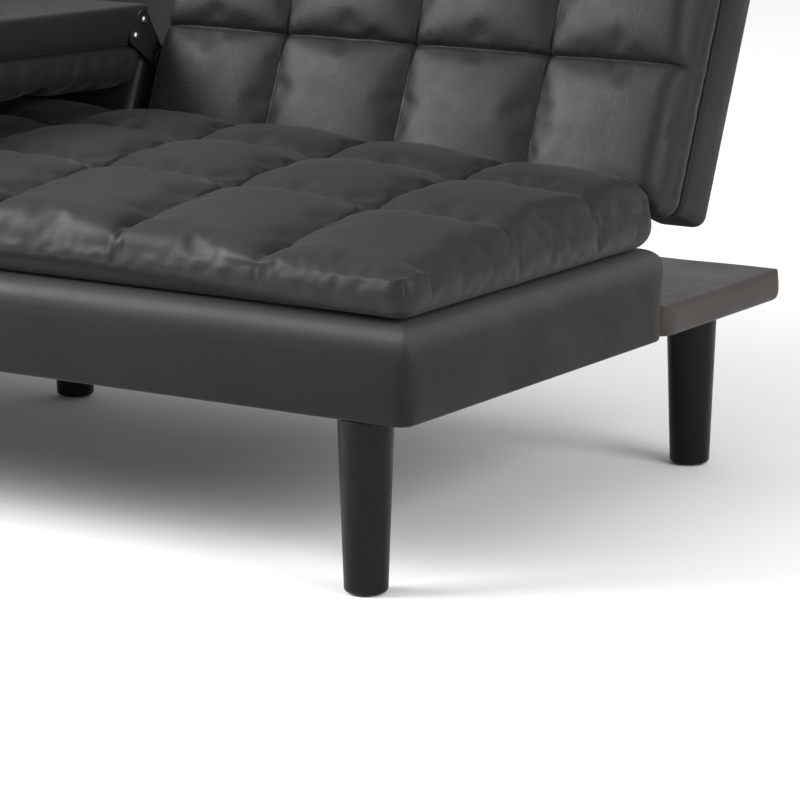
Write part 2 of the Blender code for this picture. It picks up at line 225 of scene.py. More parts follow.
class Cushion:
    """A cushion on local axes: x and y over its face, z out of it. Its grid has lines on every seam."""

    def __init__(self, size, seams_x, seams_y, corner, fine=0.0062):
        self.size, self.corner = size, corner
        self.xs, self.line_x = self.grid_lines(size[0], seams_x, fine)
        self.ys, self.line_y = self.grid_lines(size[1], seams_y, fine)

    @staticmethod
    def grid_lines(length, seams, fine):
        stops = [0.0, *seams, length]
        places, stitched = [np.array([0.0])], [False]
        for i, (a, b) in enumerate(zip(stops, stops[1:])):
            first, last = i == 0, i == len(stops) - 2
            count = max(6, round((b - a) / fine * (1.25 if first or last else 1.0)))
            run = span(a, b, count, 0.9 if first else 0.65, 0.9 if last else 0.65)
            places.append(run[1:])
            stitched += [False] * (count - 1) + [not last]
        return np.concatenate(places), np.array(stitched)

    def plan(self):
        """x and y of every grid point, with the corners rounded."""
        x, y = np.meshgrid(self.xs, self.ys, indexing="ij")
        r = self.corner
        half = np.array(self.size) / 2
        u, v = np.abs(x - half[0]) - (half[0] - r), np.abs(y - half[1]) - (half[1] - r)
        inside = (u > 0) & (v > 0)
        a, b = np.where(inside, u / r, 0), np.where(inside, v / r, 0)
        u2, v2 = u * np.sqrt(1 - b * b / 2), v * np.sqrt(1 - a * a / 2)
        x2 = half[0] + np.sign(x - half[0]) * (half[0] - r + u2)
        y2 = half[1] + np.sign(y - half[1]) * (half[1] - r + v2)
        return np.where(inside, x2, x), np.where(inside, y2, y)

    def rim(self):
        """Grid positions round the face, counter-clockwise."""
        nx, ny = len(self.xs) - 1, len(self.ys) - 1
        loop = [(i, 0) for i in range(nx)] + [(nx, j) for j in range(ny)]
        loop += [(i, ny) for i in range(nx, 0, -1)] + [(0, j) for j in range(ny, 0, -1)]
        return np.array(loop)

    def way_out(self, x, y):
        half, r = np.array(self.size) / 2, self.corner
        u = np.clip(np.abs(x - half[0]) - (half[0] - r), 0, None) * np.sign(x - half[0])
        v = np.clip(np.abs(y - half[1]) - (half[1] - r), 0, None) * np.sign(y - half[1])
        length = np.maximum(np.hypot(u, v), 1e-9)
        return u / length, v / length

    def build(self, name, matrix, height, bands):
        """height(x, y) gives the face. bands are (inset, z) of the rings below it, numbers or functions
        of x and y. The underside is left open: close() fills it."""
        x, y = self.plan()
        z = height(x, y)
        nx, ny = x.shape
        verts = [np.stack([x, y, z], axis=-1).reshape(-1, 3)]
        index = np.arange(nx * ny).reshape(nx, ny)
        quads = np.stack([index[:-1, :-1], index[1:, :-1], index[1:, 1:], index[:-1, 1:]], axis=-1)
        faces = quads.reshape(-1, 4).tolist()
        loop = self.rim()
        rim_x, rim_y = x[loop[:, 0], loop[:, 1]], y[loop[:, 0], loop[:, 1]]
        out_x, out_y = self.way_out(rim_x, rim_y)
        above = index[loop[:, 0], loop[:, 1]]
        count, total = len(loop), nx * ny
        self.ring_starts = []
        for inset, low in bands:
            inset = inset(rim_x, rim_y) if callable(inset) else np.full(count, inset)
            low = low(rim_x, rim_y) if callable(low) else np.full(count, low)
            verts.append(np.stack([rim_x - out_x * inset, rim_y - out_y * inset, low], axis=-1))
            below = np.arange(total, total + count)
            self.ring_starts.append(total)
            faces += np.stack([above, below, np.roll(below, -1), np.roll(above, -1)], axis=-1).tolist()
            above, total = below, total + count
        made = piece(name, np.concatenate(verts), faces, matrix, outwards=False)
        self.index, self.loop, self.count = index, loop, count
        return made

    def rim_points(self):
        return self.index[self.loop[:, 0], self.loop[:, 1]]

    def below(self, ring, obj):
        """Every point from the given band down."""
        return np.arange(self.ring_starts[ring], len(obj.data.vertices))

    def stitched_points(self):
        """Grid points on the stitched lines."""
        on = np.zeros(self.index.shape, bool)
        on[self.line_x, :] = True
        on[:, self.line_y] = True
        return self.index[on]

    def crease(self, obj, columns=0.7, rows=0.7, rim=0.5):
        """Keeps the stitched lines and the rim sharp when the mesh is subdivided."""
        line = {}
        for i in np.flatnonzero(self.line_x):
            line.update({v: (columns, 0, i) for v in self.index[i, :].tolist()})
        across = {v: j for j in np.flatnonzero(self.line_y) for v in self.index[:, j].tolist()}
        place = {v: k for k, v in enumerate(self.rim_points().tolist())}
        edges = obj.data.edges
        ends = np.empty(len(edges) * 2, np.int32)
        edges.foreach_get("vertices", ends)
        values = np.zeros(len(edges), np.float32)
        for k, (a, b) in enumerate(ends.reshape(-1, 2).tolist()):
            if a in line and b in line and line[a][2] == line[b][2]:
                values[k] = columns
            elif a in across and b in across and across[a] == across[b]:
                values[k] = rows
            elif a in place and b in place and abs(place[a] - place[b]) in (1, self.count - 1):
                values[k] = rim
        layer = obj.data.attributes.new("crease_edge", "FLOAT", "EDGE")
        layer.data.foreach_set("value", values)


def inflate(obj, held, pressure, frames, cap, slack, stiffness=15.0, bending=2.0):
    """Blows the cover up as cloth. held is {weight: points}; no point moves further than cap."""
    start = coordinates(obj)
    group = obj.vertex_groups.new(name="held")
    for weight, points in held.items():
        group.add([int(v) for v in points], weight, "REPLACE")
    mod = obj.modifiers.new("cloth", "CLOTH")
    cloth = mod.settings
    cloth.quality = 5
    cloth.vertex_group_mass = "held"
    cloth.use_pressure = True
    cloth.uniform_pressure_force = pressure
    cloth.shrink_min = -slack
    cloth.tension_stiffness = cloth.compression_stiffness = stiffness
    cloth.bending_stiffness = bending
    cloth.effector_weights.gravity = 0.0
    mod.collision_settings.use_collision = False
    mod.point_cache.frame_start, mod.point_cache.frame_end = 1, frames
    scene = bpy.context.scene
    for number in range(1, frames + 1):
        scene.frame_set(number)
    graph = bpy.context.evaluated_depsgraph_get()
    blown = obj.evaluated_get(graph).to_mesh()
    end = np.empty(len(blown.vertices) * 3)
    blown.vertices.foreach_get("co", end)
    obj.evaluated_get(graph).to_mesh_clear()
    obj.modifiers.remove(mod)
    obj.vertex_groups.clear()
    scene.frame_set(1)
    move = end.reshape(-1, 3) - start
    far = np.linalg.norm(move, axis=1, keepdims=True)
    move *= np.tanh(far / cap) * cap / np.maximum(far, 1e-9)
    set_coordinates(obj, start + move)


# ---- materials ----
class Nodes:
    """Short calls for a material's node tree."""

    def __init__(self, name):
        self.material = bpy.data.materials.new(name)
        self.material.use_nodes = True
        self.tree = self.material.node_tree
        self.shader = self.tree.nodes["Principled BSDF"]
        self.place = self.new("ShaderNodeTexCoord").outputs["Object"]

    def new(self, kind, **settings):
        node = self.tree.nodes.new(kind)
        for key, value in settings.items():
            if key in node.inputs:
                node.inputs[key].default_value = value
            else:
                setattr(node, key, value)
        return node

    def link(self, source, target):
        self.tree.links.new(source, target)

    def stretched(self, scale):
        node = self.new("ShaderNodeMapping")
        node.inputs["Scale"].default_value = scale
        self.link(self.place, node.inputs["Vector"])
        return node.outputs[0]

    def noise(self, scale, detail=3.0, rough=0.5, place=None):
        node = self.new("ShaderNodeTexNoise", Scale=scale, Detail=detail, Roughness=rough)
        self.link(place or self.place, node.inputs["Vector"])
        return node.outputs["Fac"]

    def cells(self, scale, feature="F1", place=None):
        node = self.new("ShaderNodeTexVoronoi", Scale=scale, feature=feature)
        self.link(place or self.place, node.inputs["Vector"])
        return node.outputs["Distance"]

    def math(self, operation, a, b=0.0):
        node = self.new("ShaderNodeMath", operation=operation)
        for value, socket in ((a, node.inputs[0]), (b, node.inputs[1])):
            if hasattr(value, "links"):
                self.link(value, socket)
            else:
                socket.default_value = value
        return node.outputs[0]

    def ramp(self, source, *stops):
        """stops are (place, colour)."""
        node = self.new("ShaderNodeValToRGB")
        while len(node.color_ramp.elements) < len(stops):
            node.color_ramp.elements.new(0.5)
        for element, (place, color) in zip(node.color_ramp.elements, stops):
            element.position = place
            element.color = (*color, 1.0) if hasattr(color, "__len__") else (color, color, color, 1.0)
        self.link(source, node.inputs[0])
        return node.outputs[0]

    def mix(self, amount, a, b, kind="MIX"):
        node = self.new("ShaderNodeMix", data_type="RGBA", blend_type=kind)
        for value, socket in ((amount, node.inputs[0]), (a, node.inputs[6]), (b, node.inputs[7])):
            if hasattr(value, "links"):
                self.link(value, socket)
            else:
                socket.default_value = value if isinstance(value, float) else (*value, 1.0)
        return node.outputs[2]

    def bumps(self, *layers):
        """layers are (height, strength, distance), the last one outermost."""
        normal = None
        for height, strength, distance in layers:
            node = self.new("ShaderNodeBump", Strength=strength, Distance=distance)
            self.link(height, node.inputs["Height"])
            if normal:
                self.link(normal, node.inputs["Normal"])
            normal = node.outputs[0]
        self.link(normal, self.shader.inputs["Normal"])

    def finish(self, color, roughness, **levels):
        self.link(color, self.shader.inputs["Base Color"])
        self.link(roughness, self.shader.inputs["Roughness"])
        for name, value in levels.items():
            self.shader.inputs[name.replace("_", " ")].default_value = value
        return self.material


def shade(color, factor):
    return tuple(c * factor for c in color)


def paint_edge_light_and_shade(n, tone, top, reach=0.09):
    """Painted highlight near the top edge and painted shade low down."""
    axes = n.new("ShaderNodeSeparateXYZ")
    n.link(n.place, axes.inputs[0])
    up = n.math("SUBTRACT", axes.outputs[2], top - reach)
    up = n.math("MULTIPLY", up, 10.0)
    # painted shade low down (0.78), rising to a painted highlight at the top edge
    mottle_and_edge_light = n.ramp(up, (0.0, 0.78), (0.5, 1.0), (0.63, 1.5), (0.82, (5.1, 5.7, 5.5)))
    return n.mix(1.0, tone, mottle_and_edge_light, "MULTIPLY")


def faux_leather(name, color, rough=(0.36, 0.50), specular=0.22, wear=1.0, lit_edge_top=None):
    """Pebbled vinyl: uneven in tone, paler along worn ridges, with painted shade where it folds in.
    Its last argument is the height of a top edge that gets a painted highlight, with painted shade lower
    down."""
    n = Nodes(name)
    cloud = n.ramp(n.noise(2.6, 4.0), (0.3, shade(color, 0.88)), (0.7, shade(color, 1.13)))
    mottle_and_edge_light = n.ramp(n.noise(26.0, 5.0, 0.6), (0.35, 0.0), (0.75, 1.0))
    mottled = n.mix(0.12, cloud, shade(color, 1.6))
    tone = n.mix(n.math("MULTIPLY", mottle_and_edge_light, 0.35), cloud, mottled)
    ridge = n.new("ShaderNodeNewGeometry").outputs["Pointiness"]
    # painted shade: the tone is darkened where pointiness is low, in creases and folds
    crease_shade = n.ramp(ridge, (0.44, 0.45), (0.495, 1.0))
    tone = n.mix(1.0, tone, crease_shade, "MULTIPLY")
    worn = n.math("MULTIPLY", n.ramp(ridge, (0.515, 0.0), (0.58, 1.0)), 0.30 * wear)
    tone = n.mix(worn, tone, shade(color, 2.1))
    # painted highlight along a top edge, with painted shade lower down
    if lit_edge_top:
        tone = paint_edge_light_and_shade(n, tone, lit_edge_top)
    low, high = rough
    roughness = n.ramp(n.noise(14.0, 5.0, 0.62), (0.3, low), (0.7, high))
    pebbles = n.cells(820.0, "SMOOTH_F1")
    pores = n.noise(2600.0, 2.0)
    drape = n.noise(46.0, 4.0, 0.55)
    n.bumps((drape, 0.10, 0.004), (pebbles, 0.30, 0.0005), (pores, 0.10, 0.0002))
    return n.finish(tone, roughness, Specular_IOR_Level=specular, Sheen_Weight=0.05, Sheen_Roughness=0.4)


def painted_wood(name):
    """Satin black paint over turned wood, a little worn at the rims."""
    n = Nodes(name)
    grain = n.noise(60.0, 5.0, 0.6, n.stretched((9.0, 9.0, 0.6)))
    tone = n.ramp(grain, (0.3, (0.0022, 0.0019, 0.0020)), (0.7, (0.0040, 0.0035, 0.0037)))
    ridge = n.new("ShaderNodeNewGeometry").outputs["Pointiness"]
    tone = n.mix(n.math("MULTIPLY", n.ramp(ridge, (0.53, 0.0), (0.62, 1.0)), 0.4), tone, (0.06, 0.055, 0.05))
    roughness = n.ramp(n.noise(30.0, 4.0), (0.3, 0.30), (0.7, 0.42))
    n.bumps((grain, 0.12, 0.0006), (n.noise(900.0, 3.0), 0.06, 0.0002))
    return n.finish(tone, roughness, Specular_IOR_Level=0.16)


def black_plastic(name):
    n = Nodes(name)
    tone = n.ramp(n.noise(22.0, 4.0), (0.3, (0.010, 0.010, 0.011)), (0.7, (0.016, 0.016, 0.017)))
    roughness = n.ramp(n.noise(55.0, 4.0), (0.3, 0.28), (0.7, 0.40))
    n.bumps((n.noise(1500.0, 3.0), 0.12, 0.0002),)
    return n.finish(tone, roughness, Specular_IOR_Level=0.5)


def zinc_steel(name):
    """Bright zinc plate with brushed lines, crystals and dull patches."""
    n = Nodes(name)
    patches = n.ramp(n.cells(150.0), (0.1, (0.46, 0.46, 0.47)), (0.8, (0.62, 0.62, 0.64)))
    stain = n.ramp(n.noise(70.0, 5.0, 0.65), (0.35, 0.55), (0.6, 1.0))
    tone = n.mix(1.0, patches, stain, "MULTIPLY")
    brushed = n.noise(220.0, 4.0, 0.6, n.stretched((1.0, 14.0, 1.0)))
    roughness = n.ramp(brushed, (0.3, 0.24), (0.7, 0.44))
    n.bumps((brushed, 0.12, 0.0003),)
    return n.finish(tone, roughness, Metallic=1.0)


def bare_wood(name, stretch):
    """Planed softwood: growth rings drawn out along the board, pores and a few darker streaks."""
    n = Nodes(name)
    place = n.stretched(stretch)
    rings = n.new("ShaderNodeTexWave", Scale=6.0, Distortion=7.0, Detail=4.0)
    n.link(place, rings.inputs["Vector"])
    tone = n.ramp(rings.outputs["Fac"], (0.15, (0.36, 0.22, 0.105)), (0.85, (0.56, 0.39, 0.215)))
    streak = n.ramp(n.noise(7.0, 6.0, 0.65, place), (0.35, 0.72), (0.6, 1.0))
    tone = n.mix(1.0, tone, streak, "MULTIPLY")
    fibre = n.noise(160.0, 3.0, 0.5, place)
    roughness = n.ramp(fibre, (0.3, 0.55), (0.7, 0.75))
    n.bumps((fibre, 0.25, 0.0006),)
    return n.finish(tone, roughness, Specular_IOR_Level=0.3)


def bonded_cloth(name):
    """Thin black spun fabric, dimpled where its fibres are welded."""
    n = Nodes(name)
    tone = n.ramp(n.noise(900.0, 4.0, 0.7), (0.3, (0.008, 0.008, 0.009)), (0.7, (0.022, 0.022, 0.024)))
    roughness = n.ramp(n.noise(300.0), (0.3, 0.85), (0.7, 0.97))
    n.bumps((n.cells(500.0), 0.5, 0.0006),)
    return n.finish(tone, roughness, Specular_IOR_Level=0.15)


# ---- the seat ----
def seat_height(width, depth):
    """The seat's face: highest in the middle, tied down at the crossings, rolled over at its edges."""
    edge = 0.0400  # the rim above the underside

    def height(x, y):
        from_end = np.minimum(x, width - x)
        drop = (1 - np.clip(from_end / 0.75, 0, 1)) ** 2  # the seat is lower towards its two ends
        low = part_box("seat_pad")[0].z
        places = [0.0, FRONT_TUFTS, *SEAT_ROWS, 0.45, 0.495]
        tied = np.interp(y, places, [0.345, 0.349, 0.3636, 0.3696, 0.370, 0.366])
        tied = tied - np.interp(y, [0.04, 0.207], [0.034, 0.0265]) * drop - low
        across = seam_distance(x, SEAT_COLUMNS, 0.0, width)
        along = seam_distance(y, SEAT_ROWS, 0.0, depth)
        fade = smoothstep((y - 0.004) / 0.05)  # the lines that run back start shallow at the front
        side = 1 - (1 - bulge(across)) * (0.18 + 0.82 * fade)
        front = bulge(along)
        nearest = COLUMN * np.clip(np.round(x / COLUMN), 1, 9)
        away = np.hypot((x - nearest) / 0.0085, (y - FRONT_TUFTS) / 0.021)
        dimple = np.exp(-(away**1.6))
        cell = side * front * (1 - dimple)
        line = SEAT_LINE_RISE * np.minimum(side + front, 1) * (1 - dimple)
        at_crossing = np.hypot(x - nearest, y - np.where(y < 0.29, *SEAT_ROWS)) / 0.034
        tied = tied - 0.0045 * np.exp(-(at_crossing**2))
        top = tied + line + (SEAT_PUFF - SEAT_LINE_RISE) * cell
        roll = rolled((y, 0.036), (from_end, 0.030), (depth - y, 0.020))
        return edge + (top - edge) * roll

    return height


def make_seat():
    low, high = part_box("seat_pad")
    width, depth = high.x - low.x, high.y - low.y
    shape = Cushion((width, depth), SEAT_COLUMNS, [FRONT_TUFTS, *SEAT_ROWS], 0.022)
    matrix = Matrix.Translation(low)

    def lifted(x, y):
        """How far the front of the underside curls up, towards the middle of the seat."""
        from_end = np.minimum(x, width - x)
        return 0.017 * smoothstep(from_end / 0.45) * smoothstep(1 - y / 0.05)

    def band(share, inset, level):
        return inset, lambda x, y: level + lifted(x, y) * share

    bands = [
        band(0.05, -0.0022, 0.0345), band(0.15, -0.0034, 0.0285), band(0.3, -0.0034, 0.0225),
        band(0.5, -0.0022, 0.0165), band(0.7, 0.0004, 0.0110), band(0.85, 0.0040, 0.0062),
        band(0.95, 0.0080, 0.0028), band(0.7, 0.0120, 0.0012), band(0.3, 0.0155, 0.0006),
        band(0.0, 0.0190, 0.0004),
    ]
    cushion = shape.build("seat_cushion", matrix, seat_height(width, depth), bands)
    # the front row is only tufts: nothing ahead of it is stitched, and between tufts it is free
    front = np.flatnonzero(shape.line_y)[0]
    tufts = shape.index[shape.line_x, front]
    stitched = set(shape.stitched_points().tolist()) - set(shape.index[:, : front + 1].ravel().tolist())
    stitched |= set(tufts.tolist())
    held = {1.0: [*stitched, *shape.below(5, cushion)], 0.85: shape.rim_points()}
    inflate(cushion, held, SEAT_PRESSURE, SEAT_FRAMES, 0.0055, SLACK)
    shape.line_y[front] = False
    shape.crease(cushion)
    subdivide(cushion)
    close(cushion)
    dress(cushion, "base", LEATHER_CUSHION, "faux_leather", "seat_pad")
    return cushion


# ---- putting pieces on their bodies ----
def dress(obj, body, material, slot, *nodes):
    obj.data.materials.clear()
    obj.data.materials.append(material)
    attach(obj, body)
    if nodes:
        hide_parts(*nodes)
    return obj


# ---- the back's cushions ----
def back_frame_matrix(x, y, z):
    """Local x along the length, y up the back and z out of its face, from a point of the BACK frame."""
    axes = Matrix(((1, 0, 0, x), (0, 0, -1, y), (0, 1, 0, z), (0, 0, 0, 1)))
    return BACK @ axes


def back_height(width, length, columns, rows, rim):
    """A back cushion's face: soft valleys up it, steeper ones along it, rounded at its border."""

    def height(x, y):
        across = seam_distance(x, columns, 0.0, width)
        along = seam_distance(y, rows, 0.0, length)
        side, up = bulge(across, 1.9), bulge(along, 4.6)
        crossing = 0.0365
        line = BACK_LINE_RISE * np.minimum(side + up, 1)
        top = crossing + line + (BACK_PUFF - BACK_LINE_RISE) * side * up
        roll = rolled((x, 0.026), (width - x, 0.026), (y, 0.030), (length - y, 0.032))
        return rim + (top - rim) * roll

    return height


def make_back_cushion(side):
    node = "back_pad_" + side
    low, high = local_box(node, BACK)
    width, length = high[0] - low[0], high[2] - low[2]
    sign = 1 if side == "right" else -1
    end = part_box("seat_pad")[1].x
    columns = sorted(sign * (end - COLUMN * k) - low[0] for k in range(1, 4))
    rows = [u - low[2] for u in BACK_ROWS]
    shape = Cushion((width, length), columns, rows, 0.020)
    rim = 0.0235
    bands = [
        (-0.0012, 0.0200), (-0.0020, 0.0165), (-0.0020, 0.0125), (-0.0010, 0.0085), (0.0010, 0.0050),
        (0.0040, 0.0022), (0.0085, 0.0006), (0.0160, 0.0),
    ]
    matrix = back_frame_matrix(low[0], high[1], low[2])
    face = back_height(width, length, columns, rows, rim)
    cushion = shape.build("back_cushion_" + side, matrix, face, bands)
    held = {1.0: [*shape.stitched_points(), *shape.below(4, cushion)], 0.6: shape.rim_points()}
    inflate(cushion, held, PRESSURE, FRAMES, 0.0055, SLACK / 2, bending=6.0)
    shape.crease(cushion)
    subdivide(cushion)
    close(cushion)
    x = sorted((sign * 0.783, sign * 0.817))  # the hinge's arm passes through here
    cut(cushion, [block("slot", (x[0], -0.016, -0.06), (x[1], 0.06, 0.0195), BACK)])
    dress(cushion, "backrest", LEATHER_CUSHION, "faux_leather", node)
    return cushion


def make_centre_pad():
    """The short fixed pad below the console: the CAD solid's outline, rounded and stuffed."""
    node = "back_pad_centre"
    made = bpy.data.objects.new("back_cushion_centre", frame["nodes"][node].data.copy())
    bpy.context.scene.collection.objects.link(made)
    made.data.materials.clear()
    body = bmesh.new()
    body.from_mesh(made.data)
    bmesh.ops.remove_doubles(body, verts=body.verts, dist=1e-5)
    body.to_mesh(made.data)
    body.free()
    mod = made.modifiers.new("remesh", "REMESH")
    mod.mode = "VOXEL"
    mod.voxel_size = 0.004
    mod = made.modifiers.new("soften", "SMOOTH")
    mod.factor, mod.iterations = 0.5, 6
    apply_modifiers(made)
    inflate(made, {}, pressure=1.0, frames=8, cap=0.002, slack=0.0)
    subdivide(made)
    dress(made, "backrest", LEATHER_CUSHION, "faux_leather", node)
    return made


# ---- the console ----
def lean_heel(obj, matrix, slope, sign):
    """Slants the end at the hinge, so that it lies against the back."""
    co = coordinates(obj)
    turn = np.array(matrix.inverted())
    local = co @ turn[:3, :3].T + turn[:3, 3]
    near = 1 - smoothstep(local[:, 1] / 0.05)
    local[:, 1] -= sign * local[:, 2] * slope * near
    back = np.array(matrix)
    set_coordinates(obj, local @ back[:3, :3].T + back[:3, 3])


def console_heel(level):
    """The slope of the console's hinge end, which lies along the back, and its y at a level."""
    lean = BACK_TILT - CONSOLE_RISE
    return math.tan(lean), -HEEL_GAP / math.cos(lean) + level * math.tan(lean)


def make_console_cushion():
    low, high = local_box("console_pad", CONSOLE)
    slope, heel = console_heel(high[2])
    length, width, thick = heel - low[1], high[0] - low[0], high[2] - low[2]
    pivot_height = (BACK.inverted() @ PIVOT["console_fold"]).z
    row = BACK_ROWS[1] - pivot_height + heel
    shape = Cushion((width, length), [width / 2], [row], 0.016)
    rim, tied, puff, line_rise = 0.033, thick - 0.011, 0.013, 0.0045

    def height(x, y):
        side = bulge(seam_distance(x, [width / 2], 0.0, width), 2.6)
        along = bulge(seam_distance(y, [row], 0.0, length), 2.6)
        top = tied + line_rise * np.minimum(side + along, 1) + (puff - line_rise) * side * along
        roll = rolled(*borders(x, y, width, length, 0.024))
        return rim + (top - rim) * roll

    bands = [
        (-0.0010, 0.0280), (-0.0016, 0.0220), (-0.0016, 0.0160), (-0.0008, 0.0100), (0.0010, 0.0052),
        (0.0034, 0.0020), (0.0070, 0.0006), (0.0140, 0.0),
    ]
    axes = Matrix(((1, 0, 0, low[0]), (0, -1, 0, heel), (0, 0, -1, high[2]), (0, 0, 0, 1)))
    matrix = CONSOLE @ axes
    cushion = shape.build("console_cushion", matrix, height, bands)
    held = {1.0: [*shape.stitched_points(), *shape.below(4, cushion)], 0.6: shape.rim_points()}
    inflate(cushion, held, PRESSURE, FRAMES, 0.008, SLACK)
    shape.crease(cushion)
    lean_heel(cushion, matrix, slope, -1)
    subdivide(cushion)
    close(cushion)
    dress(cushion, "console", LIT_CONSOLE_LEATHER, "faux_leather", "console_pad")
    return cushion


def lathe(name, profile, matrix, steps=72):
    """A turned solid about local Z, from (radius, z) points that start and end on the axis."""
    verts = [(0.0, 0.0, profile[0][1])]
    turns = [2 * math.pi * i / steps for i in range(steps)]
    for radius, z in profile[1:-1]:
        verts += [(radius * math.cos(t), radius * math.sin(t), z) for t in turns]
    verts.append((0.0, 0.0, profile[-1][1]))
    rings, tip = len(profile) - 2, len(verts) - 1
    faces = []
    for i in range(steps):
        j = (i + 1) % steps
        faces.append((0, 1 + j, 1 + i))
        for k in range(rings - 1):
            a, b = 1 + k * steps, 1 + (k + 1) * steps
            faces.append((a + i, a + j, b + j, b + i))
        faces.append((1 + (rings - 1) * steps + i, 1 + (rings - 1) * steps + j, tip))
    return piece(name, verts, faces, matrix)


def make_console_box():
    low, high = local_box("console_box", CONSOLE)
    slope, heel = console_heel(low[2])
    length, width, thick = heel - low[1], high[0] - low[0], high[2] - low[2]
    shape = Cushion((width, length), [], [], 0.014)
    rim = thick - 0.0085

    def height(x, y):
        roll = rolled(*borders(x, y, width, length, 0.010))
        crown = 0.0006 * np.sin(np.pi * np.clip(x / width, 0, 1)) * np.sin(np.pi * np.clip(y / length, 0, 1))
        return rim + (thick - rim + crown) * roll

    bands = [(-0.0006, rim - 0.003), (-0.0014, rim - 0.009), (-0.0018, rim - 0.016), (-0.0014, rim - 0.024)]
    bands += [(-0.0004, 0.0075), (0.0014, 0.0040), (0.0044, 0.0014), (0.0090, 0.0)]
    axes = Matrix(((-1, 0, 0, high[0]), (0, -1, 0, heel), (0, 0, 1, low[2]), (0, 0, 0, 1)))
    matrix = CONSOLE @ axes
    box = shape.build("console_box_cover", matrix, height, bands)
    lean_heel(box, matrix, slope, 1)
    shape.crease(box, rim=0.3)
    subdivide(box)
    close(box)
    holes = []
    for side in ("left", "right"):
        cup_low, cup_high = local_box("cup_holder_" + side, CONSOLE)
        middle = (cup_low + cup_high) / 2
        radius = 0.0445
        place = CONSOLE @ Matrix.Translation((middle[0], middle[1], 0))
        ring = [(0, low[2] - 0.01), (radius, low[2] - 0.01), (radius, high[2] + 0.01), (0, high[2] + 0.01)]
        holes.append(lathe("hole_" + side, ring, place, 72))
    cut(box, holes)
    dress(box, "console", LIT_CONSOLE_LEATHER, "faux_leather", "console_box")
    return box


def make_cup(side):
    """A moulded cup liner: rolled rim, drafted wall and a drain recess in its floor."""
    low, high = local_box("cup_holder_" + side, CONSOLE)
    middle = (low + high) / 2
    rim, top = (high[0] - low[0]) / 2, high[2]
    floor = low[2]
    profile = [
        (0.0, floor), (rim - 0.0110, floor), (rim - 0.0082, floor + 0.0007), (rim - 0.0068, floor + 0.0030),
        (rim - 0.0062, top - 0.0050), (rim - 0.0060, top - 0.0022), (rim - 0.0004, top - 0.0022),
        (rim, top - 0.0016), (rim - 0.0003, top - 0.0008), (rim - 0.0014, top - 0.0001), (rim - 0.0036, top),
        (rim - 0.0060, top - 0.0004), (rim - 0.0074, top - 0.0016), (rim - 0.0080, top - 0.0040),
        (rim - 0.0092, floor + 0.0060), (rim - 0.0104, floor + 0.0032), (rim - 0.0134, floor + 0.0020),
        (0.0300, floor + 0.0018), (0.0288, floor + 0.0024), (0.0270, floor + 0.0024),
        (0.0258, floor + 0.0016), (0.0, floor + 0.0014),
    ]
    cup = lathe("cup_" + side, profile, CONSOLE @ Matrix.Translation((middle[0], middle[1], 0)), 96)
    return dress(cup, "console", BLACK_PLASTIC, "black_plastic", "cup_holder_" + side)


# ---- wrapped rails: a section swept along an outline ----
def offset_outline(corners, inset, radius, closed, step):
    """The outline moved inwards, its corners rounded. Every inset gives the same number of points.
    Also the way out at each point and how near it is to a corner, 0 at the corner and 1 mid-run."""
    corners = [np.array(c, float) for c in corners]
    count = len(corners)
    runs = count if closed else count - 1
    inward = []
    for k in range(runs):
        way = corners[(k + 1) % count] - corners[k]
        way /= np.linalg.norm(way)
        inward.append(np.array([-way[1], way[0]]))
    small = max(radius - inset, 0.0015)
    points, out, middle = [], [], []
    for k in range(runs):
        normal = inward[k]
        before = inward[k - 1] if closed or k > 0 else None
        after = inward[(k + 1) % runs] if closed or k < runs - 1 else None
        start = corners[k] + normal * inset
        if before is not None:
            start = start + before * (inset + small)
        end = corners[(k + 1) % count] + normal * inset
        if after is not None:
            end = end + after * (inset + small)
        length = np.linalg.norm(corners[(k + 1) % count] - corners[k])
        share = np.linspace(0, 1, max(3, round(length / step)) + 1)
        for u in share:
            points.append(start + (end - start) * u)
            out.append(-normal)
            middle.append(4 * u * (1 - u))
        if after is not None:
            centre = corners[(k + 1) % count] + (normal + after) * (inset + small)
            for turn in np.radians((18, 36, 54, 72)):
                way = -(normal * math.cos(turn) + after * math.sin(turn))
                points.append(centre + way * small)
                out.append(way)
                middle.append(0.0)
    return np.array(points), np.array(out), np.array(middle)


def sweep(name, corners, section, radius, matrix, closed=True, uneven=0.0, seed=1):
    """section is (inset, level, puff) round the bar; radius may be a function of the level.
    The result lies in the plane of the outline, with the level as its third axis."""
    rows = []
    for inset, level, puff in section:
        r = radius(level) if callable(radius) else radius
        flat, out, middle = offset_outline(corners, inset, r, closed, 0.009)
        lift = puff * middle**0.35
        at = np.column_stack([flat, np.full(len(flat), level)])
        if uneven and puff:
            lift = lift + uneven * ripple(at, 0.11, seed) * middle**0.5
        flat = flat + out * lift[:, None]
        rows.append(np.column_stack([flat, np.full(len(flat), level)]))
    rows = np.array(rows)
    around, stations = rows.shape[:2]
    index = np.arange(around * stations).reshape(around, stations)
    after = np.roll(index, -1, axis=0)
    if closed:
        quads = np.stack([index, np.roll(index, -1, axis=1), np.roll(after, -1, axis=1), after], axis=-1)
    else:
        quads = np.stack([index[:, :-1], index[:, 1:], after[:, 1:], after[:, :-1]], axis=-1)
    faces = quads.reshape(-1, 4).tolist()
    if not closed:
        faces += [index[:, 0].tolist(), index[::-1, -1].tolist()]
    return piece(name, rows.reshape(-1, 3), faces, matrix)


def rounded(inset_centre, level_centre, radius, start, end, puff, steps=6):
    """Section points on an arc; at 0 degrees it faces outwards, at 90 upwards."""
    found = []
    for turn in np.radians(np.linspace(start, end, steps + 1)):
        found.append((inset_centre - radius * math.cos(turn), level_centre + radius * math.sin(turn), puff))
    return found


